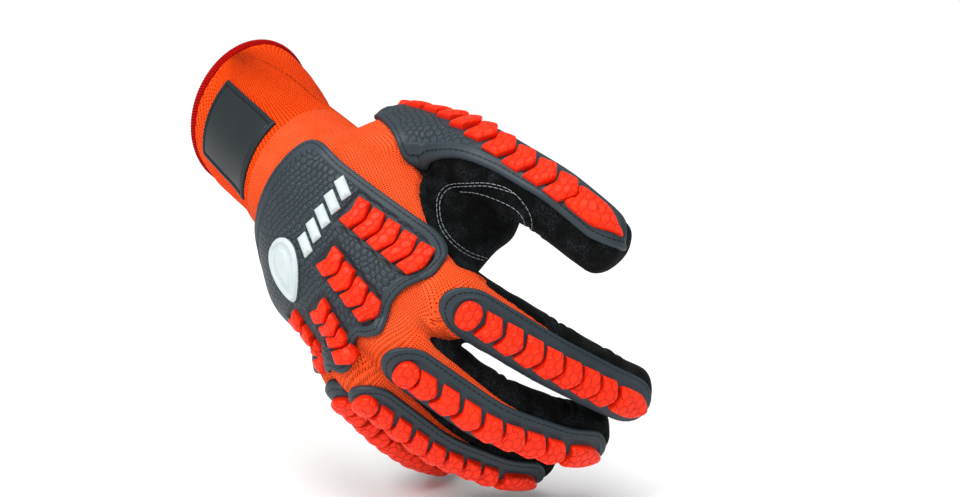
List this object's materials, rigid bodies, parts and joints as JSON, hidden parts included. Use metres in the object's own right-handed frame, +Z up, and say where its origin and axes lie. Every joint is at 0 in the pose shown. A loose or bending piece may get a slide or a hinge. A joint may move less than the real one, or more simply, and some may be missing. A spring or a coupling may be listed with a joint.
{
  "type": "impact glove",
  "caption": "Right-hand work glove with a knitted back and cuff, suede palm and raised rubber impact guards, half closed.",
  "frame": {"origin": "middle of the wrist, where a forearm and hand hold the glove up", "axes": "+X towards the fingertips' side of the picture, +Y away from the viewer, +Z up; the cuff points back, up and to -X, and the back of the hand faces the viewer"},
  "size_m": [0.2084, 0.1481, 0.1959],
  "materials": {
    "knit": "bright orange open knit",
    "suede": "black suede",
    "hem_yarn": "red overlocked edge",
    "rubber": "satin, moulded cells",
    "pad_rubber": "satin",
    "white_rubber": "satin"
  },
  "bodies": {
    "root": {"palm_leather": "suede", "back_knit": "knit", "cuff_knit": "knit", "cuff_hem": "hem_yarn", "cuff_label": "rubber", "back_guard": "rubber", "back_emblem": "white_rubber", "index_leather": "suede", "middle_leather": "suede", "ring_leather": "suede", "little_leather": "suede", "thumb_leather": "suede", "index_knit": "knit", "middle_knit": "knit", "ring_knit": "knit", "little_knit": "knit", "thumb_knit": "knit", "back_pads_index": "pad_rubber", "back_pads_middle": "pad_rubber", "back_pads_ring": "pad_rubber", "back_pads_little": "pad_rubber", "index_guard": "rubber", "middle_guard": "rubber", "ring_guard": "rubber", "little_guard": "rubber", "thumb_guard": "rubber", "index_pads": "pad_rubber", "middle_pads": "pad_rubber", "ring_pads": "pad_rubber", "little_pads": "pad_rubber", "thumb_pads": "pad_rubber"}
  },
  "joints": []
}
